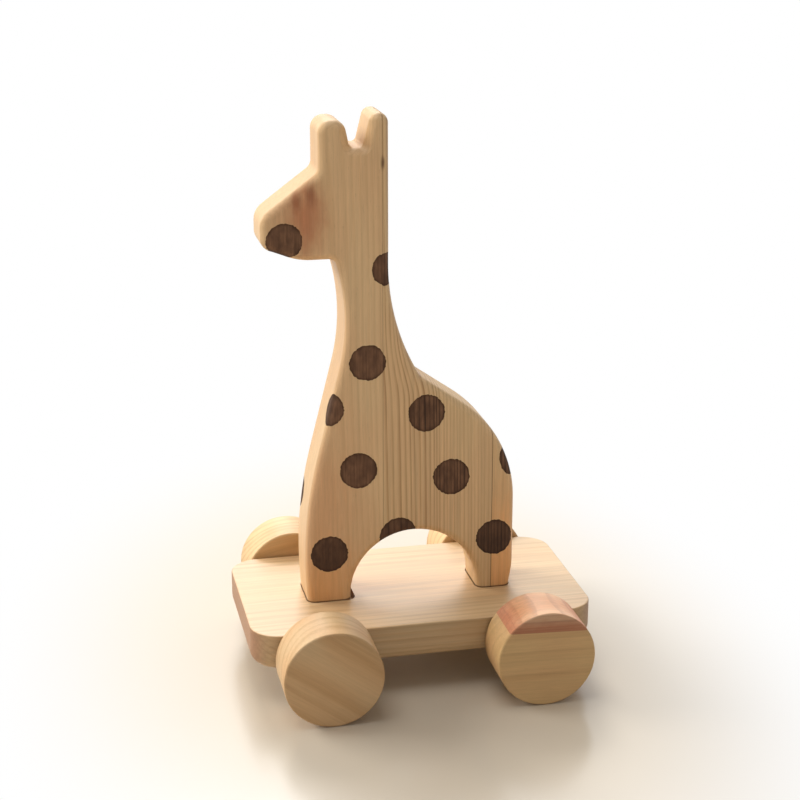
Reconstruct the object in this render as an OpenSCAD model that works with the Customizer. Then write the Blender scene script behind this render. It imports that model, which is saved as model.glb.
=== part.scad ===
// Wheeled giraffe toy: a giraffe cut from an edge-glued pine panel, let into a base board that
// rolls on four wooden wheels glued to two dowel axles.
// Millimetres, +Z up. The giraffe looks along -X and the table is at z = 0.
// Heights on the giraffe are measured from the top of the base, and reaches along X from the
// middle of the arch between its legs.

/* [Panel] */
// Thickness of the panel that the giraffe is cut from
panel_t = 20; // [16:0.5:24]
// Radius of the rounding along the giraffe's cut edges
edge_round = 3; // [1.5:0.1:3.4]
// Glue line between the front and middle staves, ahead of the arch's middle
front_glue = 12; // [10.5:0.1:14]
// Glue line between the middle and rear staves, behind the arch's middle
rear_glue = 29.5; // [27:0.1:33]

/* [Legs and body] */
// Radius of the arch between the legs
arch_r = 24.2; // [20:0.1:27]
// Height of the arch's centre above the base
arch_rise = 1; // [0:0.1:4]
// How far the arch's middle sits behind the middle of the base
arch_shift = 0.85; // [-3:0.05:4]
// Width of the front foot at its sole
front_foot_w = 16.1; // [13:0.1:20]
// Width of the rear foot at its sole
rear_foot_w = 12.3; // [10:0.1:16]
// Reach of the chest ahead of the arch's middle
chest_reach = 42.5; // [40:0.1:48]
// Height at which the chest turns in towards the neck
chest_h = 31; // [24:0.5:38]
// Radius of the chest's curve
chest_r = 160; // [100:5:200]
// Reach of the rump behind the arch's middle
rump_reach = 38.4; // [36:0.1:44]
// Height at which the back turns down into the rump
rump_h = 60; // [50:0.5:68]
// Radius of the rump's curve
rump_r = 48; // [30:1:60]
// Height at which the rear leg tapers to its foot
heel_h = 8; // [5:0.5:14]
// Radius of the heel's curve
heel_r = 25; // [10:1:40]

/* [Neck] */
// Height of the withers, where the neck meets the back
withers_h = 85.2; // [80:0.1:95]
// Distance of the withers behind the arch's middle
withers_reach = 2.2; // [0:0.1:6]
// Radius of the hollow at the withers
withers_r = 6; // [3:0.5:12]
// Length of the neck, from the withers up to the jaw line
neck_l = 45; // [38:0.5:55]
// How far below the jaw line the front of the neck is hollowed most
throat_drop = 21.6; // [18:0.1:28]
// Reach of the front of the neck ahead of the arch's middle
throat_reach = 22.8; // [20:0.1:27]
// Radius of the front of the neck
throat_r = 75; // [50:1:100]
// How far below the jaw line the back of the neck starts to spread
nape_drop = 23.8; // [18:0.1:30]
// Reach of the back of the head ahead of the arch's middle
nape_reach = 9.4; // [7:0.1:10.2]
// Radius of the back of the neck
nape_r = 82; // [40:1:110]

/* [Head] */
// Width of the neck where it meets the jaw
jaw_neck_w = 19.5; // [16:0.1:23]
// Radius of the corner under the jaw
jaw_r = 3; // [1.5:0.1:6]
// Length of the snout, from the front horn to the nose
snout_l = 20.8; // [16:0.1:26]
// Length of the chin's upward slope
chin_l = 13.5; // [10:0.1:16]
// Radius where the chin starts to rise
chin_r = 25; // [10:1:40]
// Height of the lower corner of the muzzle above the jaw line
muzzle_rise = 5.2; // [3:0.1:8]
// Radius of the lower corner of the muzzle
muzzle_r = 5; // [3.5:0.1:7]
// Height of the nose, from the muzzle's lower corner to its upper one
nose_h = 10.6; // [8:0.1:14]
// Radius of the upper corner of the nose
nose_r = 7; // [4:0.1:9]
// Height of the brow above the jaw line, where the snout meets the front horn
brow_rise = 31.2; // [25:0.1:36]
// Radius of the hollow at the brow
brow_r = 4; // [2:0.1:8]

/* [Horns] */
// Height of the hollow between the horns above the jaw line
notch_rise = 39.1; // [36:0.1:44]
// Width of the hollow between the horns
notch_w = 4.5; // [2.6:0.1:6]
// Radius of the hollow's corners
notch_r = 1.9; // [1:0.1:3]
// Width of the front horn at its tip
front_horn_w = 9.3; // [8:0.1:12]
// Length of the front horn above the hollow
front_horn_l = 9.8; // [8:0.1:14]
// How much the back of the front horn slopes out towards the hollow
front_horn_flare = 2.1; // [0:0.1:3]
// Radius of the front horn's tip
front_horn_r = 4.6; // [3.5:0.1:4.8]
// Width of the rear horn at its tip
rear_horn_w = 6.1; // [6:0.1:9]
// Length of the rear horn above the hollow
rear_horn_l = 11.9; // [9:0.1:16]
// How much the front of the rear horn slopes out towards the hollow
rear_horn_flare = 3; // [2:0.1:4.5]
// Radius of the rear horn's tip
rear_horn_r = 3.5; // [3.4:0.1:3.6]

/* [Scorched spots] */
// Diameter of a spot
spot_d = 14; // [8:0.1:17]
// Depth to which the wood is scorched
spot_depth = 0.4; // [0.2:0.1:1]
// Gap drawn round a scorched layer
spot_gap = 0.05; // [0.02:0.01:0.1]

/* [Base] */
// Length of the base board
base_l = 128; // [122:1:150]
// Width of the base board
base_w = 72; // [60:1:90]
// Thickness of the base board
base_t = 14; // [13:0.5:18]
// Radius of the base's corners, seen from above
base_corner_r = 11; // [9.5:0.5:18]
// Radius of the rounding along the base's lower edge
base_round = 4.5; // [1:0.1:4.7]
// Depth of the pockets that the feet are glued into
foot_depth = 4; // [2:0.1:4.5]
// Gap round a foot in its pocket
foot_gap = 0.3; // [0.1:0.05:0.6]
// Extra length of the front pocket, open behind the foot
pocket_slack = 1.4; // [0:0.1:3]

/* [Wheels and axles] */
// Diameter of a wheel
wheel_d = 36; // [32:0.5:44]
// Width of a wheel
wheel_w = 19.6; // [16:0.1:24]
// Rounding of a wheel's rims
rim_round = 0.8; // [0.3:0.1:2]
// Gap between a wheel and the side of the base
wheel_gap = 1.2; // [0.5:0.1:3]
// Distance of the front axle ahead of the middle of the base
front_axle_reach = 38.5; // [34:0.5:44]
// Distance of the rear axle behind the middle of the base
rear_axle_reach = 39; // [34:0.5:44]
// Depth of the axles' centres below the top of the base
axle_depth = 9; // [8.3:0.1:9.5]
// Diameter of the axle dowels
axle_d = 6; // [5:0.1:6.4]
// Radial clearance of an axle in the base
axle_gap = 0.1; // [0.05:0.01:0.2]
// Depth of the blind hole in a wheel
wheel_bore_l = 14; // [10:0.5:15]
// Radial gap for glue in a wheel's hole
glue_gap = 0.05; // [0.02:0.01:0.1]
// Chamfer on the ends of an axle
axle_chamfer = 0.6; // [0.2:0.1:1]
// Height of the rear left wheel's glue line above its centre
wheel_glue_h = 10.7; // [8:0.1:13]
// Slope of that glue line, rising towards the front, in degrees
wheel_glue_slope = 2.3; // [0:0.1:8]

/* [Hidden] */
$fn = 96;

pine = [0.85, 0.70, 0.49];
pale_pine = [0.88, 0.76, 0.57];
warm_pine = [0.82, 0.64, 0.42];
red_pine = [0.66, 0.44, 0.30];
beech = [0.80, 0.62, 0.44];
scorched = [0.30, 0.20, 0.16];

// Largest gap between a curve and the straight steps that draw it
curve_error = 0.08;
// Steps in the rounding of an edge
round_steps = 4;
// Length that a cutting shape runs past what it cuts
over = 1;

axle_z = wheel_d / 2;
base_top = axle_z + axle_depth;
base_bottom = base_top - base_t;
wheel_inner_y = base_w / 2 + wheel_gap;
axle_l = 2 * (wheel_inner_y + wheel_bore_l);

// Heights of the head, each from the one below it
jaw_h = withers_h + neck_l;
muzzle_h = jaw_h + muzzle_rise;
nose_top_h = muzzle_h + nose_h;
brow_h = jaw_h + brow_rise;
notch_h = jaw_h + notch_rise;
front_tip_h = notch_h + front_horn_l;
rear_tip_h = notch_h + rear_horn_l;

// Reaches of the head, each from the one behind it, ahead of the arch's middle
rear_horn_front = nape_reach + rear_horn_w;
notch_back = rear_horn_front + rear_horn_flare;
notch_front = notch_back + notch_w;
front_horn_back = notch_front + front_horn_flare;
brow_reach = front_horn_back + front_horn_w;
nose_reach = brow_reach + snout_l;

// The outline runs on below the soles, so that they can be cut flat
sole_h = -foot_depth;
trim_l = 2 * edge_round + 2;
trim_h = sole_h - trim_l;
front_sole = arch_r + front_foot_w;
rear_sole = arch_r + rear_foot_w;
function along(a, b, t) = a + (b - a) * t;
function front_leg_x(h) = -along(front_sole, chest_reach, (h - sole_h) / (chest_h - sole_h));
function rear_leg_x(h) = along(rear_sole, rump_reach, (h - sole_h) / (heel_h - sole_h));

// Corners of the giraffe's outline, clockwise from the front sole: reach, height and radius
corners = [
    [front_leg_x(trim_h), trim_h, edge_round],
    [-chest_reach, chest_h, chest_r],
    [-throat_reach, jaw_h - throat_drop, throat_r],
    [-nape_reach - jaw_neck_w, jaw_h, jaw_r],
    [-nose_reach + chin_l, jaw_h, chin_r],
    [-nose_reach, muzzle_h, muzzle_r],
    [-nose_reach, nose_top_h, nose_r],
    [-brow_reach, brow_h, brow_r],
    [-brow_reach, front_tip_h, front_horn_r],
    [-front_horn_back, front_tip_h, front_horn_r],
    [-notch_front, notch_h, notch_r],
    [-notch_back, notch_h, notch_r],
    [-rear_horn_front, rear_tip_h, rear_horn_r],
    [-nape_reach, rear_tip_h, rear_horn_r],
    [-nape_reach, jaw_h - nape_drop, nape_r],
    [withers_reach, withers_h, withers_r],
    [rump_reach, rump_h, rump_r],
    [rump_reach, heel_h, heel_r],
    [rear_leg_x(trim_h), trim_h, edge_round],
    [arch_r, trim_h, edge_round],
    [arch_r, arch_rise + arch_r, arch_r],
    [-arch_r, arch_rise + arch_r, arch_r],
    [-arch_r, trim_h, edge_round]
];

// Landmarks that the spots are placed from
chest_at = [-chest_reach, chest_h];
throat_at = [-throat_reach, jaw_h - throat_drop];
muzzle_at = [-nose_reach, muzzle_h];
nape_at = [-nape_reach, jaw_h];
withers_at = [withers_reach, withers_h];
rump_at = [rump_reach, rump_h];
arch_top_at = [0, arch_rise + arch_r];
front_foot_at = [-front_sole, 0];
heel_at = [rump_reach, heel_h];
// Shares of the way from the chest to the throat, for the spots on the front of the neck
left_chest_share = 0.57;
right_chest_share = 0.54;

// Centres of the spots on the left face, from the head down
left_spots = [
    muzzle_at + [8.2, 2.4], nape_at + [-0.5, -4.1], throat_at + [5.2, -16.7],
    along(chest_at, throat_at, left_chest_share) + [-1.8, 0], withers_at + [2, -13.8],
    chest_at + [21.3, 20], rump_at + [-24.6, -14.1], rump_at + [1.6, -8.1],
    arch_top_at + [-6.5, -1.2], front_foot_at + [7.9, 19], heel_at + [-7.8, 12.3]
];
// Centres of the spots on the right face, from the head down
right_spots = [
    muzzle_at + [9.2, 4.6], throat_at + [3.4, 9.4], withers_at + [-14.7, 13.8],
    along(chest_at, throat_at, right_chest_share) + [8, 0], withers_at + [-1.7, -7.2],
    rump_at + [-18.4, -2], arch_top_at + [-8, 24.8], rump_at + [-0.9, -20],
    chest_at + [1.5, 7.6], front_foot_at + [11.3, 21], arch_top_at + [9, 3.8],
    heel_at + [-6.4, 8]
];

// Number of corners, and the neighbours of a corner
count = len(corners);
function place_of(p) = [p[0], p[1]];
function before(i) = corners[(i + count - 1) % count];
function after(i) = corners[(i + 1) % count];
function way_in(i) = place_of(corners[i]) - place_of(before(i));
function way_out(i) = place_of(after(i)) - place_of(corners[i]);
function heading(v) = atan2(v[1], v[0]);
// Turn at a corner in degrees, from -180 to 180; right turns are negative and stand outwards
function turn(i) = (heading(way_out(i)) - heading(way_in(i)) + 540) % 360 - 180;
// A corner that stands outwards is never tighter than the rounding of the edge
function wanted_r(i) = turn(i) < 0 ? max(corners[i][2], edge_round + spare_r) : corners[i][2];
function reach_of(i) = wanted_r(i) * tan(abs(turn(i)) / 2);
// Share of a wanted radius that fits on both of its sides beside the neighbouring curves
function fit(i) = min(
    1,
    norm(way_in(i)) / (reach_of(i) + reach_of((i + count - 1) % count)),
    norm(way_out(i)) / (reach_of(i) + reach_of((i + 1) % count))
);
function steps(r, angle) = max(2, ceil(angle / (2 * acos(1 - curve_error / max(r, 1)))));
// Radius left on the flat face when the rounding is taken off an outward corner, and the least of it
spare_r = 0.4;
least_r = 0.1;
// Points of one corner's curve, moved in by the inset
function curve(i, inset) =
    let (
        r = wanted_r(i) * fit(i),
        side = turn(i) < 0 ? -1 : 1,
        course = heading(way_in(i)),
        start = place_of(corners[i]) - reach_of(i) * fit(i) * [cos(course), sin(course)],
        centre = start + r * side * [-sin(course), cos(course)],
        drawn_r = side < 0 ? max(r - inset, least_r) : r + inset,
        n = steps(r, abs(turn(i)))
    )
    [for (k = [0 : n])
        let (a = course - side * 90 + turn(i) * k / n)
        centre + drawn_r * [cos(a), sin(a)]];
function all_curves(inset) = [for (i = [0 : count - 1]) each curve(i, inset)];
// Where two curves meet end to end, their common point is kept once
plain_curves = all_curves(0);
least_step = 0.01;
kept = [for (k = [0 : len(plain_curves) - 1])
    let (last = plain_curves[(k + len(plain_curves) - 1) % len(plain_curves)])
    if (norm(plain_curves[k] - last) > least_step) k];
function outline(inset) = let (points = all_curves(inset)) [for (k = kept) points[k]];

// Inset and depth of each ring of the rounded edge, from the left face to the right one
left_rings = [for (k = [0 : round_steps])
    let (a = 90 * k / round_steps)
    [edge_round * (1 - sin(a)), -panel_t / 2 + edge_round * (1 - cos(a))]];
right_rings = [for (k = [round_steps : -1 : 0]) [left_rings[k][0], -left_rings[k][1]]];
rings = concat(left_rings, right_rings);

// Flat faces are parted into triangles by cutting off one outward corner at a time
function side_of(a, b, p) = (b[0] - a[0]) * (p[1] - a[1]) - (b[1] - a[1]) * (p[0] - a[0]);
function covers(a, b, c, p) = side_of(a, b, p) <= 0 && side_of(b, c, p) <= 0 && side_of(c, a, p) <= 0;
function is_free(points, a, b, c, loop) =
    side_of(points[a], points[b], points[c]) < 0
    && len([for (k = loop)
        if (k != a && k != b && k != c && covers(points[a], points[b], points[c], points[k])) k]) == 0;
function corner_at(loop, i) = [for (step = [-1 : 1]) loop[(i + step + len(loop)) % len(loop)]];
function first_free(points, loop, i = 0) =
    let (c = corner_at(loop, i))
    i == len(loop) - 1 || is_free(points, c[0], c[1], c[2], loop) ? i : first_free(points, loop, i + 1);
function parted(points, loop) =
    len(loop) == 3 ? [loop] :
    let (i = first_free(points, loop))
    concat([corner_at(loop, i)], parted(points, [for (k = [0 : len(loop) - 1]) if (k != i) loop[k]]));

// The whole giraffe before it is cut into staves: rings of the outline joined by facets
module giraffe_blank() {
    n = len(kept);
    m = len(rings);
    points = [for (ring = rings) for (p = outline(ring[0])) [p[0], ring[1], p[1]]];
    rim = [for (j = [0 : m - 2]) for (k = [0 : n - 1])
        let (next = (k + 1) % n, here = j * n, there = here + n)
        each [
            [here + next, here + k, there + next],
            [there + next, here + k, there + k]
        ]];
    left_face = parted(outline(edge_round), [for (k = [0 : n - 1]) k]);
    right_face = [for (t = left_face) [for (k = [2, 1, 0]) t[k] + (m - 1) * n]];
    translate([arch_shift, 0, base_top])
        polyhedron(points, concat(left_face, rim, right_face));
}

// The giraffe between two reaches, with its soles cut flat
module giraffe_slice(from, to) {
    intersection() {
        giraffe_blank();
        translate([arch_shift + from, -panel_t, base_top + sole_h])
            cube([to - from, 2 * panel_t, foot_depth + max(front_tip_h, rear_tip_h) + over]);
    }
}

// Round plugs reaching from a face down to a depth, at the spots' centres
module spot_plugs(spots, face, radius, depth) {
    for (s = spots)
        translate([arch_shift + s[0], face * (panel_t / 2 - depth), base_top + s[1]])
            rotate([-90 * face, 0, 0])
                cylinder(r = radius, h = depth + over);
}

module spot_pockets() {
    spot_plugs(left_spots, -1, spot_d / 2 + spot_gap, spot_depth);
    spot_plugs(right_spots, 1, spot_d / 2 + spot_gap, spot_depth);
}

// Rectangle with round corners, centred
module rounded_rect(l, w, r) {
    square([l, w - 2 * r], center = true);
    square([l - 2 * r, w], center = true);
    for (x = [-1, 1], y = [-1, 1])
        translate([x * (l / 2 - r), y * (w / 2 - r)])
            circle(r);
}

module giraffe_front_stave() {
    color(pine)
        difference() {
            giraffe_slice(-nose_reach - over, -front_glue);
            spot_pockets();
        }
}

module giraffe_middle_stave() {
    color(pale_pine)
        difference() {
            giraffe_slice(-front_glue, rear_glue);
            spot_pockets();
        }
}

module giraffe_rear_stave() {
    color(warm_pine)
        difference() {
            giraffe_slice(rear_glue, rump_reach + over);
            spot_pockets();
        }
}

module scorched_spots_left() {
    color(scorched)
        intersection() {
            giraffe_blank();
            spot_plugs(left_spots, -1, spot_d / 2, spot_depth);
        }
}

module scorched_spots_right() {
    color(scorched)
        intersection() {
            giraffe_blank();
            spot_plugs(right_spots, 1, spot_d / 2, spot_depth);
        }
}

// Section of the base across one direction, with its two lower corners rounded
module base_section(w) {
    translate([-w / 2, base_round])
        square([w, base_t - base_round]);
    translate([-w / 2 + base_round, 0])
        square([w - 2 * base_round, base_t]);
    for (side = [-1, 1])
        translate([side * (w / 2 - base_round), base_round])
            circle(base_round);
}

// The base board without its bores and pockets
module base_blank() {
    inner_l = base_l - 2 * base_corner_r;
    inner_w = base_w - 2 * base_corner_r;
    rotate([90, 0, 90])
        linear_extrude(inner_l, center = true)
            base_section(base_w);
    rotate([90, 0, 0])
        linear_extrude(inner_w, center = true)
            base_section(base_l);
    for (x = [-1, 1], y = [-1, 1])
        translate([x * inner_l / 2, y * inner_w / 2, 0])
            rotate_extrude()
                intersection() {
                    base_section(2 * base_corner_r);
                    square([base_corner_r, base_t]);
                }
}

// A foot's pocket between two reaches
module foot_pocket(from, to) {
    translate([arch_shift + (from + to) / 2, 0, base_top - foot_depth])
        linear_extrude(foot_depth + over)
            rounded_rect(to - from, panel_t + 2 * foot_gap, edge_round + foot_gap);
}

module axle_bore(x) {
    translate([x, 0, axle_z])
        rotate([90, 0, 0])
            cylinder(r = axle_d / 2 + axle_gap, h = base_w + 2 * over, center = true);
}

module base_board() {
    color(pale_pine)
        difference() {
            translate([0, 0, base_bottom])
                base_blank();
            foot_pocket(front_leg_x(0) - foot_gap, -arch_r + foot_gap + pocket_slack);
            foot_pocket(arch_r - foot_gap, rear_leg_x(0) + foot_gap);
            axle_bore(-front_axle_reach);
            axle_bore(rear_axle_reach);
        }
}

// A dowel axle across the base, chamfered at both ends
module axle(x) {
    r = axle_d / 2;
    color(beech)
        translate([x, axle_l / 2, axle_z])
            rotate([90, 0, 0])
                rotate_extrude()
                    polygon([
                        [0, 0], [r - axle_chamfer, 0], [r, axle_chamfer],
                        [r, axle_l - axle_chamfer], [r - axle_chamfer, axle_l], [0, axle_l]
                    ]);
}

module front_axle() axle(-front_axle_reach);
module rear_axle() axle(rear_axle_reach);

// Half section of a wheel from its inner face outwards
module wheel_section() {
    square([wheel_d / 2 - rim_round, wheel_w]);
    translate([0, rim_round])
        square([wheel_d / 2, wheel_w - 2 * rim_round]);
    for (y = [rim_round, wheel_w - rim_round])
        translate([wheel_d / 2 - rim_round, y])
            circle(rim_round);
}

// A wheel on one side of the base, with the blind hole that its axle is glued into
module wheel(x, side) {
    translate([x, side * wheel_inner_y, axle_z])
        rotate([-90 * side, 0, 0])
            difference() {
                rotate_extrude()
                    wheel_section();
                translate([0, 0, -over])
                    cylinder(r = axle_d / 2 + glue_gap, h = wheel_bore_l + over);
            }
}

// Everything beyond the glue line of the rear left wheel
module beyond_wheel_glue() {
    translate([rear_axle_reach, -wheel_inner_y - wheel_w / 2, axle_z])
        rotate([0, wheel_glue_slope, 0])
            translate([-wheel_d, -wheel_w, wheel_glue_h])
                cube([2 * wheel_d, 2 * wheel_w, wheel_d]);
}

module wheel_front_left() color(pine) wheel(-front_axle_reach, -1);
module wheel_front_right() color(pine) wheel(-front_axle_reach, 1);
module wheel_rear_right() color(pine) wheel(rear_axle_reach, 1);

module wheel_rear_left() {
    color(pine)
        difference() {
            wheel(rear_axle_reach, -1);
            beyond_wheel_glue();
        }
}

module wheel_rear_left_segment() {
    color(red_pine)
        intersection() {
            wheel(rear_axle_reach, -1);
            beyond_wheel_glue();
        }
}

giraffe_front_stave();
giraffe_middle_stave();
giraffe_rear_stave();
scorched_spots_left();
scorched_spots_right();
base_board();
front_axle();
rear_axle();
wheel_front_left();
wheel_front_right();
wheel_rear_left();
wheel_rear_left_segment();
wheel_rear_right();
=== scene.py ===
import math
import random
import bmesh
import bpy
from mathutils import Matrix, Vector


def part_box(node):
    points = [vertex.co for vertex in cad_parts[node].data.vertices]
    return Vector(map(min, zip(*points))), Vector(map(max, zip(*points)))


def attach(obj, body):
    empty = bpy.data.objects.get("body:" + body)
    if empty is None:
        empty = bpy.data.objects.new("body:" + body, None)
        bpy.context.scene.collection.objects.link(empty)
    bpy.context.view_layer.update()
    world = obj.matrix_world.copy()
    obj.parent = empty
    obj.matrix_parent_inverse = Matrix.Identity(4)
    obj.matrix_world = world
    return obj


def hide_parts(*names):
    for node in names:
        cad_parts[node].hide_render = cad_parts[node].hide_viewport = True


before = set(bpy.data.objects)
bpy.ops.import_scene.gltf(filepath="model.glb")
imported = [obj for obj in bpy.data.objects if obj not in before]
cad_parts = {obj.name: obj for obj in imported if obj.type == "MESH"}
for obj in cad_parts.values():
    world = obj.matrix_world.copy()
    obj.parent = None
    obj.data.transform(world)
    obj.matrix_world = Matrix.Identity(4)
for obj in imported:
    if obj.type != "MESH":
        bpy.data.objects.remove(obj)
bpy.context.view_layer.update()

# Giraffe staves
# The giraffe is sawn from a pine panel that was glued up from three upright staves. Its edges are
# rounded over with a router, filed by hand in the hollow between the horns, and sanded. Its feet run on
# below the top of the base board.

# Lengths are written in millimetres, and mm turns them into the metres of the frame
mm = 0.001
panel_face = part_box("giraffe_front_stave")[1].y / mm
sole_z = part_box("giraffe_front_stave")[0].z / mm
deck_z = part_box("base_board")[1].z / mm
front_glue_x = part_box("giraffe_middle_stave")[0].x / mm
rear_glue_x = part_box("giraffe_rear_stave")[0].x / mm
# The arch between the legs: its middle, its radius and the straight foot of its sides
arch_x = 0.85
arch_r = 24.2
arch_rise = 1.0
edge_round = 3.0
glue_gap = 0.02
# The outline runs on below the soles, where it is cut off
outline_foot = -12.0
foot_corner_r = 3.4
# The steep edges in the hollow between the horns are filed flat, because no router reaches them
hollow_front = -29.0
hollow_back = -12.6
hollow_floor = 160.0
filed_from = 179.0
filed_fade = 3.0
# Reach from the arch's middle, height above the base and radius of each corner, clockwise
giraffe_corners = [
    (-39.8, outline_foot, foot_corner_r),       # front leg
    (-42.5, 31, 160),       # chest
    (-22.8, 108.6, 75),     # front of the neck
    (-28.9, 130.2, 3),      # under the jaw
    (-41.7, 130.2, 25),     # chin
    (-55.2, 135.4, 5),      # lower lip
    (-55.2, 146, 7),        # nose
    (-34.4, 161.4, 4),      # brow
    (-34.4, 179.1, 4.6),    # front horn
    (-25.1, 179.1, 4.6),
    (-23.0, 169.3, 1.9),    # hollow between the horns
    (-18.5, 169.3, 1.9),
    (-15.5, 181.2, 3.5),    # rear horn
    (-9.4, 181.2, 3.5),
    (-9.4, 106.4, 82),      # nape
    (2.2, 85.2, 6),         # withers
    (38.4, 60, 48),         # rump
    (38.4, 8, 25),          # heel
    (35.2, outline_foot, foot_corner_r),        # rear leg
    (arch_r, outline_foot, foot_corner_r),
    (arch_r, arch_r + arch_rise, arch_r),
    (-arch_r, arch_r + arch_rise, arch_r),
    (-arch_r, outline_foot, foot_corner_r),
]
# Points of an outline that lie closer than this are one point
same_point = 0.01


def traced(corners, fineness=0.012):
    """Points along a clockwise outline with arcs at its corners, each with its inward direction."""
    count = len(corners)
    places = [Vector(corner[:2]) for corner in corners]
    ways = [places[(i + 1) % count] - places[i] for i in range(count)]
    turns = [ways[i - 1].angle_signed(ways[i]) for i in range(count)]
    reaches = [corners[i][2] * math.tan(abs(turns[i]) / 2) for i in range(count)]
    points = []
    for i in range(count):
        room_before = ways[i - 1].length / (reaches[i] + reaches[i - 1])
        room_after = ways[i].length / (reaches[i] + reaches[(i + 1) % count])
        share = min(1, room_before, room_after)
        radius = corners[i][2] * share
        course = ways[i - 1].normalized()
        side = 1 if turns[i] > 0 else -1
        inward = Vector((course.y, -course.x))
        start = places[i] - course * reaches[i] * share
        centre = start + inward * radius * side
        steps = max(2, math.ceil(abs(turns[i]) / (2 * math.acos(1 - fineness / max(radius, 1)))))
        for k in range(steps + 1):
            spin = Matrix.Rotation(-turns[i] * k / steps, 2)
            toward = spin @ inward
            point = centre - toward * radius * side
            if not points or (point - points[-1][0]).length > same_point:
                points.append((point, toward))
    if (points[0][0] - points[-1][0]).length < same_point:
        points.pop()
    return points


def lofted(name, rings):
    """A closed mesh through rings of points in millimetres, with a flat face at each end."""
    mesh = bmesh.new()
    rows = [[mesh.verts.new(Vector(point) * mm) for point in ring] for ring in rings]
    for here, there in zip(rows, rows[1:]):
        for k in range(len(here)):
            mesh.faces.new((here[k - 1], here[k], there[k], there[k - 1]))
    mesh.faces.new(rows[0])
    mesh.faces.new(rows[-1])
    bmesh.ops.recalc_face_normals(mesh, faces=mesh.faces)
    return placed(name, mesh)


def placed(name, mesh):
    """Put a finished bmesh into the scene as an object."""
    data = bpy.data.meshes.new(name)
    mesh.to_mesh(data)
    mesh.free()
    piece = bpy.data.objects.new(name, data)
    bpy.context.scene.collection.objects.link(piece)
    return piece


def slab(low, high):
    """A plain block for cutting with, between two corners in millimetres."""
    low, high = Vector(low), Vector(high)
    plan = [(low.x, low.y), (high.x, low.y), (high.x, high.y), (low.x, high.y)]
    return lofted("slab", [[(x, y, z) for x, y in plan] for z in (low.z, high.z)])


def carve(piece, tool, operation="DIFFERENCE", keep_tool=False):
    """Cut a piece with a tool, or keep only what lies inside the tool."""
    cut = piece.modifiers.new("cut", "BOOLEAN")
    cut.operation = operation
    cut.solver = "EXACT"
    cut.object = tool
    shaped = piece.evaluated_get(bpy.context.evaluated_depsgraph_get())
    rough = piece.data
    piece.modifiers.clear()
    piece.data = bpy.data.meshes.new_from_object(shaped)
    bpy.data.meshes.remove(rough)
    if not keep_tool:
        bpy.data.objects.remove(tool)
    return piece


def sanded(piece, crease=35):
    """Shade a piece smooth, apart from creases sharper than the angle, with its flats kept flat."""
    piece.data.shade_smooth()
    piece.data.set_sharp_from_angle(angle=math.radians(crease))
    flats = piece.modifiers.new("flats", "WEIGHTED_NORMAL")
    flats.keep_sharp = True
    return piece


giraffe_outline = traced(giraffe_corners)


def filed_share(point, inward):
    """How far the edge at a point is filed flat: on the walls of the hollow between the horns alone."""
    if not (hollow_front < point.x < hollow_back and point.y > hollow_floor):
        return 0.0
    return abs(inward.x) * min(1.0, max(0.0, (filed_from - point.y) / filed_fade))


def giraffe_blank(name, skin=0.0, steps=8):
    """The whole giraffe with its worked edges, drawn in by a skin's thickness all over."""
    radius = edge_round - skin
    levels = []
    for k in range(steps + 1):
        angle = math.pi / 2 * k / steps
        round_inset = skin + radius * (1 - math.sin(angle))
        flat_inset = skin + radius * math.cos(angle)
        y = -panel_face + skin + radius * (1 - math.cos(angle))
        levels.append((round_inset, flat_inset, y))
    levels += [(round_inset, flat_inset, -y) for round_inset, flat_inset, y in reversed(levels)]
    rings = []
    for round_inset, flat_inset, y in levels:
        ring = []
        for point, inward in giraffe_outline:
            share = filed_share(point, inward)
            moved = point + inward * (round_inset + (flat_inset - round_inset) * share)
            ring.append((arch_x + moved.x, y, deck_z + moved.y))
        rings.append(ring)
    return lofted(name, rings)


def paint(red, green, blue):
    """A colour in screen values from 0 to 255, as the linear colour that a shader takes."""
    def linear(value):
        share = value / 255
        return share / 12.92 if share <= 0.04045 else ((share + 0.055) / 1.055) ** 2.4
    return linear(red), linear(green), linear(blue), 1.0


def add_node(tree, kind, inputs, **settings):
    """Add a shader node; an input takes a value or another node's output."""
    made = tree.nodes.new("ShaderNode" + kind)
    for name, value in settings.items():
        setattr(made, name, value)
    for key, value in inputs.items():
        if isinstance(value, bpy.types.NodeSocket):
            tree.links.new(value, made.inputs[key])
        else:
            made.inputs[key].default_value = value
    return made


def sums(tree, operation, *values):
    """One step of arithmetic on numbers or node outputs."""
    return add_node(tree, "Math", dict(enumerate(values)), operation=operation).outputs[0]


def eased(tree, value, low, high, low_out=0.0, high_out=1.0):
    """Ease a value from one range into another, and hold it at both ends."""
    ends = {"Value": value, "From Min": low, "From Max": high, "To Min": low_out, "To Max": high_out}
    return add_node(tree, "MapRange", ends, interpolation_type="SMOOTHSTEP").outputs[0]


def mixed(tree, share, first, second, blend_type="MIX"):
    """Mix two colours by a share."""
    made = add_node(tree, "Mix", {0: share, 6: first, 7: second}, data_type="RGBA", blend_type=blend_type)
    return made.outputs[2]


def clouds(tree, place, lumps, seed, detail=1.0):
    """Soft noise from 0 to 1 whose lumps have these sizes across, through and along the grain."""
    scale = [1 / lump for lump in lumps]
    shift = (seed, seed * 1.7, seed * 0.6)
    spread = add_node(tree, "Mapping", {"Vector": place, "Scale": scale, "Location": shift}).outputs[0]
    return add_node(tree, "TexNoise", {"Vector": spread, "Scale": 1.0, "Detail": detail}).outputs[0]


def bare_material(name):
    """A new material with a shader joined to its output."""
    material = bpy.data.materials.new(name)
    material.use_nodes = True
    tree = material.node_tree
    tree.nodes.clear()
    shader = add_node(tree, "BsdfPrincipled", {"IOR": 1.48})
    add_node(tree, "OutputMaterial", {"Surface": shader.outputs[0]})
    return material, tree, shader


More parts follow.
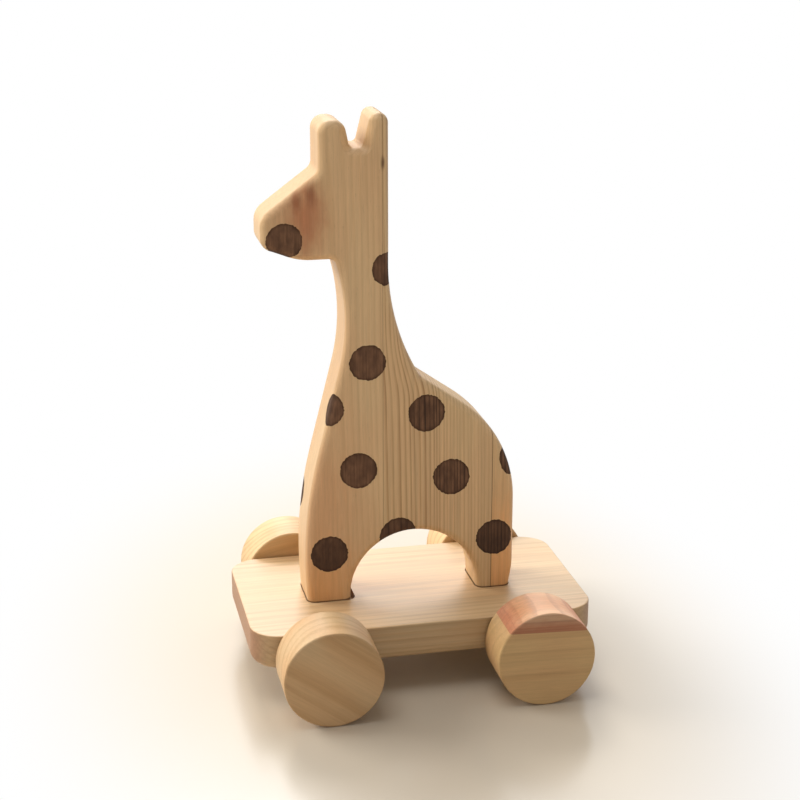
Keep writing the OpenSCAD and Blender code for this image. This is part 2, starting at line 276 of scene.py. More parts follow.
class Grain:
    """Growth rings and fibres through a board, in millimetres, with the grain along the third axis.

    turn lays the piece's own axes along the board, and pith is where the tree's middle passes. Each
    swirl (across, along, width, length, push, part) bends the rings sideways or parts them at a knot,
    and a fan (from across, to across, from along, to along, push) spreads them once along the board.
    """

    def __init__(self, tree, turn, pith, ring_gap, seed, swirls=(), fan=None, wander=1.6, taper=0.012):
        spots = add_node(tree, "TexCoord", {})
        board = {"Vector": spots.outputs["Object"], "Rotation": turn, "Scale": (1 / mm, 1 / mm, 1 / mm)}
        self.place = add_node(tree, "Mapping", board).outputs[0]
        axes = add_node(tree, "SeparateXYZ", {0: self.place})
        self.across, self.through, self.along = axes.outputs[:3]
        self.normal = spots.outputs["Normal"]
        normal = {"Vector": self.normal, "Rotation": turn}
        facing = add_node(tree, "Mapping", normal, vector_type="VECTOR").outputs[0]
        grain_way = add_node(tree, "SeparateXYZ", {0: facing}).outputs[2]
        self.end = eased(tree, sums(tree, "ABSOLUTE", grain_way), 0.45, 0.95)
        # Knots, the fan and a slow wander bend the rings before their distance from the pith is taken
        bent = self.across
        for swirl in swirls:
            bent = sums(tree, "SUBTRACT", bent, self.swirled(tree, *swirl))
        if fan:
            spread = sums(tree, "MULTIPLY", eased(tree, self.across, fan[0], fan[1]),
                          eased(tree, self.along, fan[2], fan[3]))
            bent = sums(tree, "MULTIPLY_ADD", spread, -fan[4], bent)
        drift = sums(tree, "SUBTRACT", clouds(tree, self.place, (16, 16, 90), seed), 0.5)
        bent = sums(tree, "MULTIPLY_ADD", drift, wander, bent)
        from_pith = (sums(tree, "SUBTRACT", bent, pith[0]), sums(tree, "SUBTRACT", self.through, pith[1]))
        arm = add_node(tree, "CombineXYZ", dict(enumerate(from_pith))).outputs[0]
        radius = add_node(tree, "VectorMath", {0: arm}, operation="LENGTH").outputs["Value"]
        radius = sums(tree, "MULTIPLY_ADD", self.along, taper, radius)
        # Some years' rings are wider than others
        years = add_node(tree, "TexNoise", {"W": sums(tree, "DIVIDE", radius, 7.0), "Scale": 1.0},
                         noise_dimensions="1D").outputs[0]
        phase = sums(tree, "MULTIPLY_ADD", years, 1.6, sums(tree, "DIVIDE", radius, ring_gap))
        # Each year's wood darkens late and starts pale again, and its line is stronger in some years
        year = sums(tree, "FLOOR", phase)
        season = sums(tree, "FRACT", phase)
        rise = eased(tree, season, 0.40, 0.88)
        fall = eased(tree, season, 0.90, 1.0, 1.0, 0.0)
        vigour = add_node(tree, "TexWhiteNoise", {"W": sums(tree, "ADD", year, seed)},
                          noise_dimensions="1D").outputs[0]
        vigour = sums(tree, "MULTIPLY_ADD", vigour, 0.4, 0.6)
        breaks = eased(tree, clouds(tree, self.place, (1.6, 1.6, 26), seed + 3), 0.25, 0.6, 0.55, 1.0)
        late = sums(tree, "MULTIPLY", sums(tree, "MULTIPLY", rise, fall), vigour)
        self.late = sums(tree, "MULTIPLY", late, breaks)
        # Finer marks: fibres, streaks, blotches, mottling and resin ducts
        self.fibre = clouds(tree, self.place, (0.16, 0.16, 7), seed + 5, 2.0)
        self.streak = clouds(tree, self.place, (1.1, 1.1, 55), seed + 7, 2.0)
        self.blotch = clouds(tree, self.place, (17, 17, 42), seed + 9, 1.0)
        self.mottle = clouds(tree, self.place, (2.6, 2.6, 5.5), seed + 13, 2.0)
        ducts = clouds(tree, self.place, (0.30, 0.30, 3.2), seed + 11)
        self.duct = eased(tree, ducts, 0.70, 0.78)

    def near(self, tree, across, along, width, length):
        """Distance from a point on the face, as a share of a width and a length."""
        offset_across = sums(tree, "DIVIDE", sums(tree, "SUBTRACT", self.across, across), width)
        offset_along = sums(tree, "DIVIDE", sums(tree, "SUBTRACT", self.along, along), length)
        arm = add_node(tree, "CombineXYZ", {0: offset_across, 1: offset_along}).outputs[0]
        return offset_across, add_node(tree, "VectorMath", {0: arm}, operation="LENGTH").outputs["Value"]

    def swirled(self, tree, across, along, width, length, push, part):
        """Sideways shift of the rings around one point."""
        offset, away = self.near(tree, across, along, width, length)
        nearness = sums(tree, "EXPONENT", sums(tree, "MULTIPLY", sums(tree, "MULTIPLY", away, away), -1.0))
        return sums(tree, "MULTIPLY", nearness, sums(tree, "MULTIPLY_ADD", offset, part, push))


def pine(name, turn, pith, ring_gap, seed, pale, warm, line, warm_share=0.5, line_share=0.6,
         swirls=(), fan=None, stains_and_painted_light=(), fade=None, glue_planes=(), foot_shade_line=None, lit_and_shaded_tones=None,
         end_tint=None, streaks=0.44, wander=1.6, gloss=0.0):
    """Sanded and lightly oiled pine.

    A stain is (across, along, width, length, side, share, colour) and lies under one face of the panel; a
    few of them are painted light or shade, not stains. A glue plane is (across, share), and
    foot_shade_line is the height of a painted shade that darkens the wood round a foot, in the gap of its
    pocket. lit_and_shaded_tones
    is (axis, sides, flats): painted light and shade, as tones of the surfaces that lie along an axis and
    of those that face it. end_tint is (share, colour) for end grain.
    fade is (from across, to across, share), between which the ring lines pale to a share. streaks is how
    far the tone varies between fibres, wander how far the rings stray, and gloss how much smoother it is.
    """
    material, tree, shader = bare_material(name)
    wood = Grain(tree, turn, pith, ring_gap, seed, swirls, fan, wander)
    warmth = sums(tree, "MULTIPLY", eased(tree, wood.blotch, 0.36, 0.66), warm_share)
    colour = mixed(tree, warmth, pale, warm)
    late = wood.late
    if fade:
        late = sums(tree, "MULTIPLY", late, eased(tree, wood.across, fade[0], fade[1], 1.0, fade[2]))
    colour = mixed(tree, sums(tree, "MULTIPLY", late, line_share), colour, line)
    # Some of these marks are painted light or shade: a darker snout face and a paler rear leg
    for across, along, width, length, side, share, stain_and_light_colour in stains_and_painted_light:
        away = wood.near(tree, across, along, width, length)[1]
        ragged = sums(tree, "MULTIPLY_ADD", sums(tree, "SUBTRACT", wood.mottle, 0.5), 0.5, away)
        depth = sums(tree, "MULTIPLY", wood.through, side)
        skin = eased(tree, depth, panel_face - edge_round, panel_face - 0.5)
        share = sums(tree, "MULTIPLY", eased(tree, ragged, 0.1, 1.1, share, 0.0), skin)
        colour = mixed(tree, share, colour, stain_and_light_colour)
    if end_tint:
        colour = mixed(tree, sums(tree, "MULTIPLY", wood.end, end_tint[0]), colour, end_tint[1])
    tone = sums(tree, "MULTIPLY_ADD", wood.streak, streaks, 1.0 - streaks / 2)
    tone = sums(tree, "MULTIPLY_ADD", sums(tree, "SUBTRACT", wood.fibre, 0.5), 0.32, tone)
    tone = sums(tree, "MULTIPLY", tone, eased(tree, wood.duct, 0, 1, 1.0, 0.86))
    tone = sums(tree, "MULTIPLY", tone, eased(tree, wood.end, 0, 1, 1.0, 0.93))
    # Painted light and shade: surfaces along the axis and those facing it get their own tones for how
    # light falls on them
    if lit_and_shaded_tones:
        axis, sides, flats = lit_and_shaded_tones
        facing = sums(tree, "ABSOLUTE", add_node(tree, "SeparateXYZ", {0: wood.normal}).outputs[axis])
        tone = sums(tree, "MULTIPLY", tone, eased(tree, facing, 0.3, 0.8, sides, flats))
    colour = mixed(tree, 1.0, colour, tone, "MULTIPLY")
    for plane, share in glue_planes:
        away = sums(tree, "ABSOLUTE", sums(tree, "SUBTRACT", wood.across, plane))
        colour = mixed(tree, eased(tree, away, 0.05, 0.26, share, 0.0), colour, glue_brown)
    # Painted shade: a dark line round each foot at the top of the board, where the gap of its pocket lies
    # in shade
    if foot_shade_line is not None:
        away = sums(tree, "ABSOLUTE", sums(tree, "SUBTRACT", wood.along, foot_shade_line))
        colour = mixed(tree, eased(tree, away, 0.20, 0.55, 0.75, 0.0), colour, foot_shade_brown)
    rough = sums(tree, "MULTIPLY_ADD", late, -0.08, 0.50 - gloss)
    rough = sums(tree, "MULTIPLY_ADD", sums(tree, "SUBTRACT", wood.fibre, 0.5), 0.18, rough)
    rough = sums(tree, "MULTIPLY_ADD", wood.end, 0.10, rough)
    height = sums(tree, "MULTIPLY_ADD", late, 0.5, sums(tree, "MULTIPLY", wood.fibre, 0.6))
    height = sums(tree, "MULTIPLY_ADD", wood.duct, -0.7, height)
    relief = add_node(tree, "Bump", {"Height": height, "Strength": 0.5, "Distance": 0.05 * mm})
    tree.links.new(colour, shader.inputs["Base Color"])
    tree.links.new(rough, shader.inputs["Roughness"])
    tree.links.new(relief.outputs[0], shader.inputs["Normal"])
    return material


upright = (0.0, 0.0, 0.0)
# How dark each glue line shows
front_glue_dark = 0.4
rear_glue_dark = 0.8
glue_brown = paint(126, 88, 52)
# Painted shade in the gap round each foot in its pocket
foot_shade_brown = paint(84, 54, 30)
middle_pith = (-122.0, 6.0)
middle_ring_gap = 1.3
middle_seed = 11.0
middle_wander = 0.9
withers_fan = (-16.0, 9.0, 134.0, 104.0, 7.0)
cheek_red = paint(183, 118, 78)
cheek_core = paint(150, 86, 50)
# A warm tint on the snout, deepened as painted shade that darkens its face from the rim inwards
snout_tan_and_shade = paint(192, 142, 104)
chest_red = paint(209, 153, 108)
leg_orange = paint(220, 160, 99)
# The rear leg's orange, made paler as painted light against the shadow that falls on the leg
heel_orange_and_light = paint(243, 175, 111)
pitch_brown = paint(96, 64, 30)
# The side of the panel that a stain or a spot lies on
left_face = -1
right_face = 1
# A fleck of resin behind the head lies across the front glue line, in two staves
pitch_fleck = (-11.0, 191.0, 1.0, 3.2, left_face, 0.9, pitch_brown)
front_pine = pine(
    "front_stave_pine", upright, pith=(-34.0, 15.0), ring_gap=1.25, seed=3.0,
    pale=paint(219, 185, 140), warm=paint(215, 172, 127), line=paint(189, 149, 102),
    warm_share=0.5, line_share=0.36, streaks=0.30,
    swirls=[(-40.0, 176.0, 7.0, 12.0, 0.0, 5.0)],
    stains_and_painted_light=[
        # Painted shade with a warm tint: the snout's face darkens from its rim towards the cheek
        (-46.0, 172.0, 10.0, 13.0, left_face, 0.5, snout_tan_and_shade),
        (-38.4, 172.5, 9.5, 20.0, left_face, 0.9, cheek_red),
        (-41.6, 178.6, 2.8, 5.0, left_face, 0.8, cheek_core),
        (-36.4, 181.0, 2.6, 5.4, left_face, 0.75, cheek_core),
        (-34.0, 62.0, 17.0, 52.0, left_face, 0.5, chest_red),
        (-33.0, 32.0, 16.0, 24.0, left_face, 0.5, leg_orange),
        pitch_fleck,
        (-30.0, 92.0, 14.0, 44.0, right_face, 0.4, chest_red),
        (-32.0, 34.0, 15.0, 28.0, right_face, 0.45, leg_orange),
    ],
    glue_planes=[(front_glue_x, front_glue_dark)], foot_shade_line=deck_z,
)
middle_pine = pine(
    "middle_stave_pine", upright, pith=middle_pith, ring_gap=middle_ring_gap, seed=middle_seed,
    pale=paint(215, 182, 136), warm=paint(214, 173, 129), line=paint(154, 106, 57),
    warm_share=0.45, line_share=0.80, wander=middle_wander,
    fan=withers_fan, fade=(2.0, 20.0, 0.45), stains_and_painted_light=[pitch_fleck],
    glue_planes=[(front_glue_x, front_glue_dark), (rear_glue_x, rear_glue_dark)], foot_shade_line=deck_z,
)
rear_pine = pine(
    "rear_stave_pine", upright, pith=(64.0, 24.0), ring_gap=2.3, seed=19.0,
    pale=paint(217, 181, 133), warm=paint(214, 170, 121), line=paint(191, 145, 97),
    warm_share=0.5, line_share=0.4,
    stains_and_painted_light=[
        # The rear leg's orange, paler as painted light
        (36.0, 36.0, 15.0, 36.0, left_face, 0.6, heel_orange_and_light),
        (35.0, 44.0, 13.0, 34.0, right_face, 0.45, leg_orange),
    ],
    glue_planes=[(rear_glue_x, rear_glue_dark)], foot_shade_line=deck_z,
)
# A length that reaches past the whole toy, for cutting with
well_past = 300.0
stave_plan = [
    ("front_stave", "giraffe_front_stave", -well_past, front_glue_x - glue_gap, front_pine, "pine_front"),
    ("middle_stave", "giraffe_middle_stave", front_glue_x + glue_gap, rear_glue_x - glue_gap,
     middle_pine, "pine_middle"),
    ("rear_stave", "giraffe_rear_stave", rear_glue_x + glue_gap, well_past, rear_pine, "pine_rear"),
]
staves = []
for name, node, x_from, x_to, wood, slot in stave_plan:
    stave = giraffe_blank(name)
    carve(stave, slab((x_from, -well_past, sole_z), (x_to, well_past, well_past)), "INTERSECT")
    stave.data.materials.clear()
    stave.data.materials.append(wood)
    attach(stave, "giraffe_on_base")
    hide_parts(node)
    staves.append(stave)

# Scorched spots
# Round marks burnt into both faces of the panel with a hot tool, so that their edges are ragged and
# the grain still shows in them. Each lies a little below the face and laps over the rounded edge.

# Depth to which a spot at the very edge reaches round it, and the depths of the burnt layer
burn_lap = 6.5
char_top = 0.05
char_bottom = 0.25
# How far a spot's edge strays from a circle: in broad lobes, as a share, and in small nicks
lobe_share = 0.055
nick = 0.18
# How far a burning tool starts outside the face
tool_start = 1.0
# Heights between which the spots turn darker, going down
darker_from = 66.0
darker_to = 42.0
# Reach from the arch's middle, height above the base and radius of each spot, from the head down
left_spots = [
    (-47.0, 137.8, 6.5), (-9.9, 126.1, 6.1), (-17.6, 91.9, 6.7), (-33.1, 75.2, 6.7), (4.2, 71.4, 7.0),
    (-21.2, 51.0, 6.9), (13.8, 45.9, 7.0), (40.5, 51.9, 8.4), (-6.3, 24.0, 7.2), (-32.4, 19.0, 7.0),
    (30.6, 20.3, 7.0),
]
right_spots = [
    (-46.0, 140.0, 6.6), (-19.4, 118.0, 6.3), (-12.5, 99.0, 7.0), (-23.9, 72.9, 6.8), (0.5, 78.0, 7.0),
    (20.0, 58.0, 7.0), (-8.0, 50.0, 6.9), (37.5, 40.0, 7.0), (-41.0, 38.6, 7.0), (-29.0, 21.0, 7.0),
    (9.0, 29.0, 6.9), (32.0, 16.0, 7.0),
]


def burn_tools(name, spots, side, dice):
    """Ragged domes that reach from outside one face into the wood, one at each spot."""
    mesh = bmesh.new()
    steps = 72
    levels = (1.0, 0.95, 0.85, 0.70, 0.50, 0.25)
    for reach, height, spot_r in spots:
        waves = [(lobes, dice.uniform(0, 6.28), dice.uniform(0.2, 1.0)) for lobes in (2, 3, 5, 7, 11)]
        columns = []
        for k in range(steps):
            angle = 2 * math.pi * k / steps
            lobed = sum(size * math.sin(lobes * angle + start) / (lobes + 2)
                        for lobes, start, size in waves)
            r = spot_r * (1 + lobe_share * lobed) + dice.uniform(-nick, nick)
            column = [(r, -tool_start)]
            for level in levels:
                column.append((r * level, burn_lap * math.sqrt(1 - level * level)))
            column = [(arch_x + reach + away * math.cos(angle), side * (panel_face - depth),
                       deck_z + height + away * math.sin(angle)) for away, depth in column]
            columns.append([mesh.verts.new(Vector(point) * mm) for point in column])
        middle = (arch_x + reach, side * (panel_face - burn_lap), deck_z + height)
        tip = mesh.verts.new(Vector(middle) * mm)
        for before, here in zip(columns[-1:] + columns, columns):
            for level in range(len(levels)):
                mesh.faces.new((before[level], here[level], here[level + 1], before[level + 1]))
            mesh.faces.new((before[-1], here[-1], tip))
        mesh.faces.new([column[0] for column in columns])
    bmesh.ops.recalc_face_normals(mesh, faces=mesh.faces)
    return placed(name, mesh)


def scorched(name, spots):
    """Charred pine: brown, matt, darkest round the rim of each spot, with the rings still showing."""
    material, tree, shader = bare_material(name)
    wood = Grain(tree, upright, middle_pith, middle_ring_gap, middle_seed, fan=withers_fan,
                 wander=middle_wander)
    flat = add_node(tree, "VectorMath", {0: wood.place, 1: (1, 0, 1)}, operation="MULTIPLY").outputs[0]
    inside = 1.0
    for reach, height, spot_r in spots:
        centre = (arch_x + reach, 0, deck_z + height)
        away = add_node(tree, "VectorMath", {0: flat, 1: centre}, operation="DISTANCE").outputs["Value"]
        inside = sums(tree, "MINIMUM", sums(tree, "DIVIDE", away, spot_r), inside)
    uneven = sums(tree, "MULTIPLY_ADD", sums(tree, "SUBTRACT", wood.mottle, 0.5), 0.25, inside)
    rim = eased(tree, uneven, 0.80, 1.0)
    colour = mixed(tree, eased(tree, wood.mottle, 0.30, 0.70), paint(128, 94, 71), paint(98, 70, 53))
    fine = clouds(tree, wood.place, (0.55, 0.55, 14), 31.0, 2.0)
    colour = mixed(tree, eased(tree, fine, 0.40, 0.70, 0.0, 0.5), colour, paint(78, 54, 38))
    # The rings show behind the front glue line, where the middle stave has strong ones
    ringed = eased(tree, wood.across, front_glue_x - 0.2, front_glue_x + 0.2, 0.1, 0.9)
    colour = mixed(tree, sums(tree, "MULTIPLY", wood.late, ringed), colour, paint(48, 32, 21))
    colour = mixed(tree, sums(tree, "MULTIPLY", rim, 0.75), colour, paint(70, 47, 31))
    # The spots turn darker lower down, and darker again where they lap round the panel's edge
    burnt_dark = paint(50, 36, 28)
    colour = mixed(tree, eased(tree, wood.along, darker_from, darker_to, 0.0, 0.6), colour, burnt_dark)
    facing = sums(tree, "ABSOLUTE", add_node(tree, "SeparateXYZ", {0: wood.normal}).outputs[1])
    colour = mixed(tree, eased(tree, facing, 0.9, 0.4, 0.0, 0.6), colour, burnt_dark)
    rough = sums(tree, "MULTIPLY_ADD", wood.fibre, 0.2, 0.72)
    height = sums(tree, "MULTIPLY_ADD", wood.late, 0.8, fine)
    relief = add_node(tree, "Bump", {"Height": height, "Strength": 0.6, "Distance": 0.08 * mm})
    shader.inputs["Specular IOR Level"].default_value = 0.3
    tree.links.new(colour, shader.inputs["Base Color"])
    tree.links.new(rough, shader.inputs["Roughness"])
    tree.links.new(relief.outputs[0], shader.inputs["Normal"])
    return material


dice = random.Random(7)
for side, name, node, spots in (
    (left_face, "left_spots", "scorched_spots_left", left_spots),
    (right_face, "right_spots", "scorched_spots_right", right_spots),
):
    recess = burn_tools("recess", spots, side, dice)
    char = recess.copy()
    char.data = recess.data.copy()
    char.name = name
    bpy.context.scene.collection.objects.link(char)
    carve(recess, giraffe_blank("heart", char_bottom))
    carve(char, giraffe_blank("skin", char_top), "INTERSECT")
    carve(char, giraffe_blank("heart", char_bottom))
    for stave in staves:
        carve(stave, recess, keep_tool=True)
    bpy.data.objects.remove(recess)
    char.data.materials.clear()
    char.data.materials.append(scorched(name + "_char", spots))
    sanded(char)
    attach(char, "giraffe_on_base")
    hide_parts(node)
for stave in staves:
    sanded(stave)

# Base board
# One length of planed pine with its grain lengthways. Its corners are sawn round, its lower edge is
# routed over, the feet stand in two routed pockets, and the axles run through two cross bores.

board_low, board_high = (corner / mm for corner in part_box("base_board"))
# Number of the axis that points up, which the board's top faces
up = 2
board_corner_r = 11.0
board_round = 4.5
board_ease = 0.5
foot_gap = 0.3
pocket_slack = 1.4
front_foot_front = -40.55
rear_foot_back = 37.13
bore_r = 3.1
bore_steps = 64
# How far a cutter runs on past the surface that it enters
cut_past = 1.0
axle_x = {end: sum(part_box(end + "_axle"), Vector()).x / 2 / mm for end in ("front", "rear")}
axle_z = sum(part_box("front_axle"), Vector()).z / 2 / mm


def rounded_plan(low, high, radius):
    """A rectangle with round corners, clockwise, as points with their inward directions."""
    return traced([(low.x, low.y, radius), (low.x, high.y, radius),
                   (high.x, high.y, radius), (high.x, low.y, radius)])


def board_levels(steps=8):
    """Insets and heights up the board's edge: rounded below, eased above."""
    for k in range(steps + 1):
        angle = math.pi / 2 * k / steps
        yield board_round * (1 - math.sin(angle)), board_low.z + board_round * (1 - math.cos(angle))
    for k in range(steps // 2 + 1):
        angle = math.pi / 2 * k / (steps // 2)
        yield board_ease * (1 - math.cos(angle)), board_high.z - board_ease * (1 - math.sin(angle))


board_plan = rounded_plan(board_low, board_high, board_corner_r)
board_rings = []
for inset, z in board_levels():
    moved = [point + inward * inset for point, inward in board_plan]
    board_rings.append([(p.x, p.y, z) for p in moved])
board = lofted("board", board_rings)
pocket_half = panel_face + foot_gap
for x_from, x_to in (
    (front_foot_front - foot_gap, -arch_r + foot_gap + pocket_slack),
    (arch_r - foot_gap, rear_foot_back + foot_gap),
):
    plan = rounded_plan(Vector((arch_x + x_from, -pocket_half)), Vector((arch_x + x_to, pocket_half)),
                        edge_round + foot_gap)
    ends = (sole_z, deck_z + cut_past)
    carve(board, lofted("pocket", [[(p.x, p.y, z) for p, inward in plan] for z in ends]))
for x in axle_x.values():
    spokes = [math.tau * k / bore_steps for k in range(bore_steps)]
    circle = [(x + bore_r * math.cos(a), axle_z + bore_r * math.sin(a)) for a in spokes]
    ends = (board_low.y - cut_past, board_high.y + cut_past)
    carve(board, lofted("bore", [[(u, y, w) for u, w in circle] for y in ends]))
# A turn that lays the grain along the board
lengthways = Matrix(((0, 1, 0), (0, 0, 1), (1, 0, 0))).to_euler()
# The board's sides get a darker tone than its top, as painted shade
board_pine = pine(
    "board_pine", lengthways, pith=(9.0, -22.0), ring_gap=2.0, seed=27.0,
    pale=paint(212, 181, 138), warm=paint(209, 172, 127), line=paint(186, 147, 101),
    warm_share=0.6, line_share=0.5, lit_and_shaded_tones=(up, 0.82, 1.0),
    end_tint=(0.75, paint(176, 121, 87)), gloss=0.10,
)
board.data.materials.clear()
board.data.materials.append(board_pine)
sanded(board)
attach(board, "giraffe_on_base")
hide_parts("base_board")

# Axles
# Two straight 6 mm beech dowels, turned and chamfered at the ends. They turn in the board's bores, and
# each is glued into a blind hole in a wheel at both ends, so that they show only in the gaps.

# A turn that lays the grain along the dowel
crossways = (math.radians(90), 0.0, 0.0)
for end in ("front", "rear"):
    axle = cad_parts[end + "_axle"]
    dowel_beech = pine(
        end + "_dowel_beech", crossways, pith=(axle_x[end] + 30.0, 40.0), ring_gap=1.1, seed=41.0,
        pale=paint(214, 172, 130), warm=paint(206, 160, 120), line=paint(180, 134, 96),
        warm_share=0.5, line_share=0.3, wander=0.5,
    )
    axle.data.materials.clear()
    axle.data.materials.append(dowel_beech)

# Wheels
# Four discs cut from a pine board and sanded, their grain lying across the disc. The rear left one was
# cut across a glue joint, so a darker reddish segment forms the top of it.

# Number of the axis that the axles lie along, which the flat sides of the discs face
along_axle = 1
rim_round = 0.8
rim_steps = 6
wheel_steps = 128
blind_hole_l = 14.0
hole_r = 3.05
# Height of the glue joint above the axle, and its fall in degrees from level
glue_height = 10.7
glue_fall = 2.3


def wheel_disc(name, x, inner_y, outer_y, radius):
    """A disc with rounded rims and a blind hole in its inner face, turned about the axle."""
    way = 1 if outer_y > inner_y else -1
    width = abs(outer_y - inner_y)
    profile = [(hole_r, blind_hole_l), (hole_r, 0.0)]
    for centre, start in ((rim_round, -90), (width - rim_round, 0)):
        for k in range(rim_steps + 1):
            angle = math.radians(start + 90 * k / rim_steps)
            reach = radius - rim_round + rim_round * math.cos(angle)
            profile.append((reach, centre + rim_round * math.sin(angle)))
    spokes = [math.tau * k / wheel_steps for k in range(wheel_steps)]
    rings = []
    for r, depth in profile:
        y = inner_y + way * depth
        rings.append([(x + r * math.cos(a), y, axle_z + r * math.sin(a)) for a in spokes])
    return lofted(name, rings)


def disc_turn(slant):
    """Turn that lays the grain at a slant to the X axis across the disc."""
    return 0.0, math.radians(90 + slant), 0.0


def disc_place(x, z, slant):
    """A point of a disc's face as places across and along its slanted grain."""
    turned = Matrix.Rotation(math.radians(90 + slant), 3, "Y") @ Vector((x, 0, z))
    return turned.x, turned.z


near_pale = paint(210, 178, 135)
rear_pale = paint(212, 175, 122)
# The far wheels are painted paler, as painted light on their lit treads and inner faces
far_lit_pale = paint(226, 190, 140)
wheel_warm = paint(212, 166, 116)
wheel_line = paint(176, 134, 84)
# Piece, node, axle, slant of the grain, ring gap, pith from the wheel's middle, strength of the ring
# lines, seed and palest tone of each wheel
wheel_plan = [
    ("front_left_wheel", "wheel_front_left", "front", -35.6, 4.6, (16.0, -88.0), 0.6, 51.0, near_pale),
    ("front_right_wheel", "wheel_front_right", "front", 12.0, 3.1, (30.0, 70.0), 0.6, 57.0, far_lit_pale),
    ("rear_left_wheel", "wheel_rear_left", "rear", -2.0, 4.4, (-20.0, -95.0), 0.35, 61.0, rear_pale),
    ("rear_right_wheel", "wheel_rear_right", "rear", 64.0, 2.6, (-10.0, 66.0), 0.6, 67.0, far_lit_pale),
]
wheel_reach = (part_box("wheel_front_left")[1].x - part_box("wheel_front_left")[0].x) / 2 / mm
for name, node, end, slant, ring_gap, pith, line_share, seed, wheel_pale in wheel_plan:
    low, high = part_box(node)
    faces = sorted((low.y / mm, high.y / mm), key=abs)
    wheel = wheel_disc(name, axle_x[end], faces[0], faces[1], wheel_reach)
    middle_across = disc_place(axle_x[end], axle_z, slant)[0]
    # The discs' faces are darkened as painted shade and their treads lightened as painted light
    wood = pine(
        name + "_pine", disc_turn(slant), pith=(middle_across + pith[0], pith[1]),
        ring_gap=ring_gap, seed=seed,
        pale=wheel_pale, warm=wheel_warm, line=wheel_line,
        warm_share=0.6, line_share=line_share, lit_and_shaded_tones=(along_axle, 1.04, 0.87), streaks=0.26,
    )
    if node == "wheel_rear_left":
        segment = wheel.copy()
        segment.data = wheel.data.copy()
        segment.name = "rear_left_wheel_segment"
        bpy.context.scene.collection.objects.link(segment)
        beyond = slab((-well_past, -well_past, glue_height), (well_past, well_past, well_past))
        hub = Matrix.Translation(Vector((axle_x[end], sum(faces) / 2, axle_z)) * mm)
        beyond.data.transform(hub @ Matrix.Rotation(math.radians(glue_fall), 4, "Y"))
        carve(wheel, beyond, keep_tool=True)
        carve(segment, beyond, "INTERSECT")
        # The red is strongest at the joint and goes right through, since all of the segment lies further
        # left than the panel's left face
        seam_across, seam_along = disc_place(axle_x[end], axle_z + glue_height, -glue_fall)
        # Its tread is lightened as painted light and its faces darkened as painted shade, more than on the
        # other wheels
        segment_pine = pine(
            "segment_red_pine", disc_turn(-glue_fall), pith=(middle_across - 240.0, -44.0),
            ring_gap=1.7, seed=71.0,
            pale=paint(228, 188, 150), warm=paint(210, 156, 116), line=paint(150, 95, 64),
            warm_share=0.8, line_share=0.58,
            stains_and_painted_light=[(seam_across, seam_along, 7.2, 60.0, left_face, 0.85, paint(182, 108, 70))],
            end_tint=(0.6, paint(176, 114, 80)), lit_and_shaded_tones=(along_axle, 1.20, 0.74), wander=0.4,
        )
        segment.data.materials.clear()
        segment.data.materials.append(segment_pine)
        sanded(segment)
        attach(segment, "rear_wheelset")
        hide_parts("wheel_rear_left_segment")
    wheel.data.materials.clear()
    wheel.data.materials.append(wood)
    sanded(wheel)
    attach(wheel, end + "_wheelset")
    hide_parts(node)

# Table and light
# A plain pale table top with a soft gloss, which runs out to white, under an even sky. Soft lamps hang
# behind it, above it and behind it to the left, and a weak one stands in front, so that the tops and
# edges are bright and the near faces lie in soft shade.


def background_rays(tree):
    """One for rays that show the background, in the picture or in gloss and glass, and else nothing."""
    rays = add_node(tree, "LightPath", {}).outputs
    shown = sums(tree, "MAXIMUM", rays["Is Camera Ray"], rays["Is Glossy Ray"])
    return sums(tree, "MAXIMUM", shown, rays["Is Transmission Ray"])


table_half = 12.0
# Distances in metres between which the table turns white, which are shorter along the toy
white_from = 0.10
white_to = 0.26
white_squeeze = (1.6, 1.0, 1.0)
table_mesh = bmesh.new()
bmesh.ops.create_grid(table_mesh, x_segments=2, y_segments=2, size=table_half)
table = placed("table", table_mesh)
table_paint, tree, shader = bare_material("table_paint")
shader.inputs["Base Color"].default_value = paint(206, 195, 177)
shader.inputs["Roughness"].default_value = 0.20
shader.inputs["Specular IOR Level"].default_value = 0.4
white = (1.0, 1.0, 1.0, 1.0)
ground = add_node(tree, "TexCoord", {}).outputs["Object"]
ground = add_node(tree, "VectorMath", {0: ground, 1: white_squeeze}, operation="MULTIPLY").outputs[0]
away = add_node(tree, "VectorMath", {0: ground}, operation="LENGTH").outputs["Value"]
far_share = sums(tree, "MULTIPLY", eased(tree, away, white_from, white_to), background_rays(tree))
far_white = add_node(tree, "Emission", {"Color": white, "Strength": 1.0}).outputs[0]
cover = add_node(tree, "MixShader", {0: far_share, 1: shader.outputs[0], 2: far_white}).outputs[0]
tree.links.new(cover, tree.get_output_node("ALL").inputs["Surface"])
table.data.materials.append(table_paint)

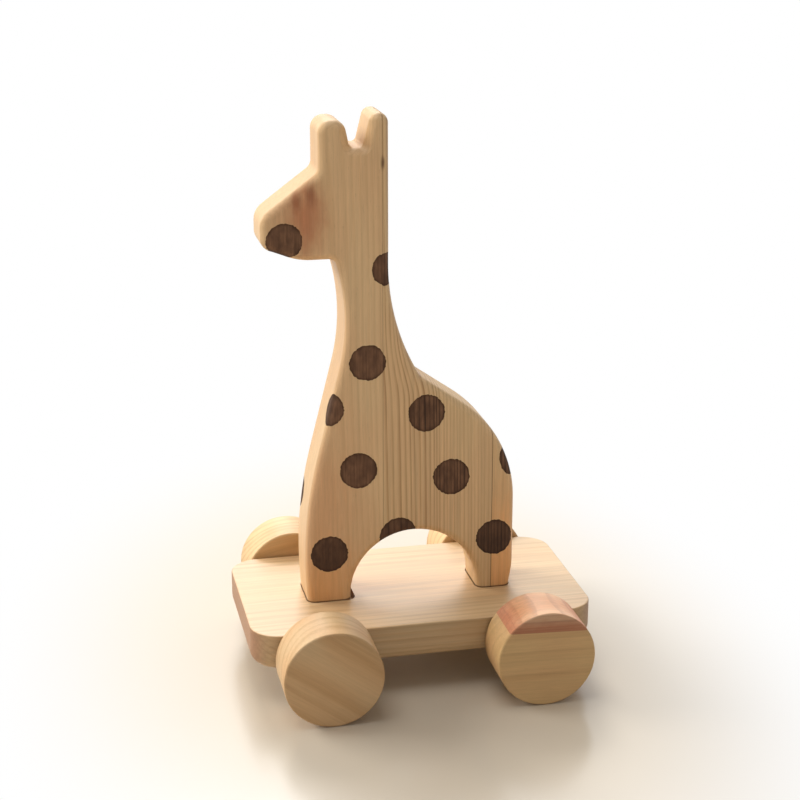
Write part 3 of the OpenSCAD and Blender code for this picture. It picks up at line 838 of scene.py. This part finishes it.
sky = bpy.data.worlds.new("sky")
sky.use_nodes = True
tree = sky.node_tree
sky_light = tree.nodes["Background"]
sky_light.inputs["Color"].default_value = (1.0, 0.97, 0.93, 1.0)
sky_light.inputs["Strength"].default_value = 0.29
sky_white = add_node(tree, "Background", {"Color": white, "Strength": 1.0}).outputs[0]
lit_and_shown = {0: background_rays(tree), 1: sky_light.outputs[0], 2: sky_white}
sky_cover = add_node(tree, "MixShader", lit_and_shown).outputs[0]
tree.links.new(sky_cover, tree.get_output_node("ALL").inputs["Surface"])
bpy.context.scene.world = sky

daylight = (1.0, 0.98, 0.96)
toy_middle = Vector((0.0, 0.0, 0.09))


def soft_lamp(name, place, width, height, power, mirrored):
    """A rectangular lamp that faces the toy, and that shows in glossy surfaces or not."""
    lamp = bpy.data.lights.new(name, "AREA")
    lamp.shape = "RECTANGLE"
    lamp.size = width
    lamp.size_y = height
    lamp.energy = power
    lamp.color = daylight
    holder = bpy.data.objects.new(name, lamp)
    holder.location = place
    holder.rotation_euler = (toy_middle - Vector(place)).to_track_quat("-Z", "Y").to_euler()
    holder.visible_camera = False
    holder.visible_glossy = mirrored
    bpy.context.scene.collection.objects.link(holder)


soft_lamp("window_lamp", (0.30, 3.60, 1.60), width=6.4, height=2.0, power=48.0, mirrored=True)
soft_lamp("key_lamp", (0.10, 2.40, 2.15), width=1.0, height=0.8, power=45.0, mirrored=True)
soft_lamp("ceiling_lamp", (-0.55, -0.05, 2.50), width=1.4, height=1.4, power=18.0, mirrored=True)
soft_lamp("side_lamp", (-2.30, 1.40, 1.50), width=2.0, height=1.4, power=84.0, mirrored=False)
soft_lamp("front_lamp", (0.30, -3.00, 0.60), width=1.6, height=0.8, power=7.0, mirrored=False)

# Camera
# It stands about 0.65 m off, on the left of the toy and a little ahead of it, and looks down on it. Its
# place, aim and lens are those at which the photograph's edges of the board and the wheels fit.

camera = bpy.data.cameras.new("camera")
camera.sensor_width = 36.0
camera.lens = 79.5
camera_holder = bpy.data.objects.new("camera", camera)
camera_holder.location = (-0.13638, -0.60562, 0.30214)
view_aim = Vector((-0.00251, 0.00075, 0.10056))
camera_holder.rotation_euler = (view_aim - camera_holder.location).to_track_quat("-Z", "Y").to_euler()
bpy.context.scene.collection.objects.link(camera_holder)
bpy.context.scene.camera = camera_holder
bpy.context.scene.view_settings.view_transform = "Standard"
